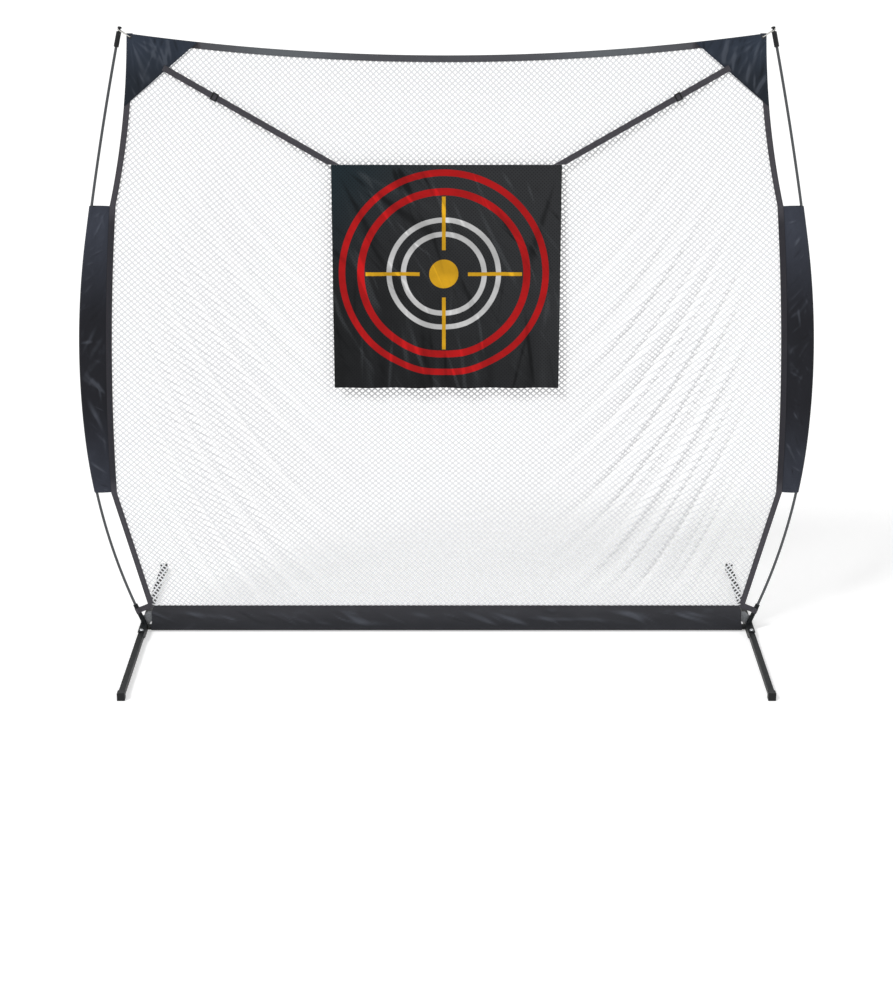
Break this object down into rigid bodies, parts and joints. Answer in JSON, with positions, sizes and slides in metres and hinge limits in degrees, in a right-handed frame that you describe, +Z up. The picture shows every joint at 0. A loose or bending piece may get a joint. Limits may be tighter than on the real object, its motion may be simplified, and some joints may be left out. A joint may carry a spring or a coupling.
{
  "type": "golf practice net",
  "caption": "Free-standing golf practice net on bowed poles, with folding base legs and a hanging square target cloth.",
  "frame": {"origin": "on the floor, midway between the four feet, in the net's plane", "axes": "+X across the net to the player's right, +Y away from the player through the net, +Z up"},
  "size_m": [2.4992, 1.2, 2.1145],
  "materials": {
    "hub_steel": "powder coated black",
    "leg_steel": "powder coated charcoal",
    "zinc_steel": "zinc plated",
    "bright_steel": "nickel plated",
    "nylon": "natural nylon",
    "fibreglass": "dark fibreglass rod",
    "black_plastic": "moulded",
    "slider_plastic": "moulded",
    "elastic_cord": "braided",
    "net_cord": "knotless mesh of white polyester",
    "webbing": "ribbed polypropylene webbing",
    "sleeve_cloth": "coated woven polyester",
    "patch_cloth": "coated woven polyester",
    "target_cloth": "printed mesh-backed polyester"
  },
  "bodies": {
    "frame": {"hub_left": "hub_steel", "hub_right": "hub_steel", "gusset_left": "zinc_steel", "gusset_right": "zinc_steel", "gusset_rivets": "zinc_steel", "pole_socket_left": "hub_steel", "pole_socket_right": "hub_steel", "crossbar_left": "leg_steel", "crossbar_centre": "leg_steel", "crossbar_right": "leg_steel", "crossbar_spigot_left": "zinc_steel", "crossbar_spigot_right": "zinc_steel", "spigot_rivets": "zinc_steel", "button_springs": "zinc_steel", "leg_bolts": "bright_steel", "leg_washers": "nylon", "pole_lower_left": "fibreglass", "pole_lower_right": "fibreglass", "pole_middle_left": "fibreglass", "pole_middle_right": "fibreglass", "pole_upper_left": "fibreglass", "pole_upper_right": "fibreglass", "pole_ferrules_left": "zinc_steel", "pole_ferrules_right": "zinc_steel", "shock_cord_left": "elastic_cord", "shock_cord_right": "elastic_cord", "tip_cap_left": "black_plastic", "tip_cap_right": "black_plastic", "corner_cord_left": "elastic_cord", "corner_cord_right": "elastic_cord", "corner_eyelet_left": "bright_steel", "corner_eyelet_right": "bright_steel", "net": "net_cord", "top_band": "webbing", "side_webbing_left": "webbing", "side_webbing_right": "webbing", "side_sleeve_left": "sleeve_cloth", "side_sleeve_right": "sleeve_cloth", "corner_patch_left": "patch_cloth", "corner_patch_right": "patch_cloth", "bottom_sleeve": "sleeve_cloth", "corner_tab_left": "webbing", "corner_tab_right": "webbing", "target_strap_left": "webbing", "target_strap_right": "webbing"},
    "snap_button_hub_left": {"snap_button_hub_left": "bright_steel"},
    "snap_button_joint_left": {"snap_button_joint_left": "bright_steel"},
    "snap_button_joint_right": {"snap_button_joint_right": "bright_steel"},
    "snap_button_hub_right": {"snap_button_hub_right": "bright_steel"},
    "leg_front_left": {"leg_front_left": "leg_steel", "foot_cap_front_left": "black_plastic"},
    "leg_front_right": {"leg_front_right": "leg_steel", "foot_cap_front_right": "black_plastic"},
    "leg_rear_left": {"leg_rear_left": "leg_steel", "foot_cap_rear_left": "black_plastic"},
    "leg_rear_right": {"leg_rear_right": "leg_steel", "foot_cap_rear_right": "black_plastic"},
    "strap_slider_left": {"strap_slider_left": "slider_plastic"},
    "strap_slider_right": {"strap_slider_right": "slider_plastic"},
    "target": {"target_panel": "target_cloth"}
  },
  "joints": [
    {"name": "leg_front_left_swing", "type": "hinge", "parent": "frame", "child": "leg_front_left", "pos_m": [-1.072, -0.06, 0.016], "axis": [0, 0, -1], "range_deg": [0, 90]},
    {"name": "leg_front_right_swing", "type": "hinge", "parent": "frame", "child": "leg_front_right", "pos_m": [1.072, -0.06, 0.016], "axis": [0, 0, 1], "range_deg": [0, 90]},
    {"name": "leg_rear_left_swing", "type": "hinge", "parent": "frame", "child": "leg_rear_left", "pos_m": [-1.072, 0.06, 0.016], "axis": [0, 0, 1], "range_deg": [0, 90]},
    {"name": "leg_rear_right_swing", "type": "hinge", "parent": "frame", "child": "leg_rear_right", "pos_m": [1.072, 0.06, 0.016], "axis": [0, 0, -1], "range_deg": [0, 90]},
    {"name": "snap_button_hub_left_press", "type": "slide", "parent": "frame", "child": "snap_button_hub_left", "axis": [0, 0, -1], "range_m": [0, 0.003], "stiffness_N_per_m": 400, "springref_m": -0.002},
    {"name": "snap_button_joint_left_press", "type": "slide", "parent": "frame", "child": "snap_button_joint_left", "axis": [0, 0, -1], "range_m": [0, 0.003], "stiffness_N_per_m": 400, "springref_m": -0.002},
    {"name": "snap_button_joint_right_press", "type": "slide", "parent": "frame", "child": "snap_button_joint_right", "axis": [0, 0, -1], "range_m": [0, 0.003], "stiffness_N_per_m": 400, "springref_m": -0.002},
    {"name": "snap_button_hub_right_press", "type": "slide", "parent": "frame", "child": "snap_button_hub_right", "axis": [0, 0, -1], "range_m": [0, 0.003], "stiffness_N_per_m": 400, "springref_m": -0.002},
    {"name": "strap_slider_left_slide", "type": "slide", "parent": "frame", "child": "strap_slider_left", "axis": [0.8655, 0, -0.5008], "range_m": [-0.1, 0.1]},
    {"name": "strap_slider_right_slide", "type": "slide", "parent": "frame", "child": "strap_slider_right", "axis": [-0.8655, 0, -0.5008], "range_m": [-0.1, 0.1]},
    {"name": "target_swing", "type": "hinge", "parent": "frame", "child": "target", "pos_m": [0, -0.0065, 1.664], "axis": [-1, 0, 0], "range_deg": [0, 80]}
  ]
}
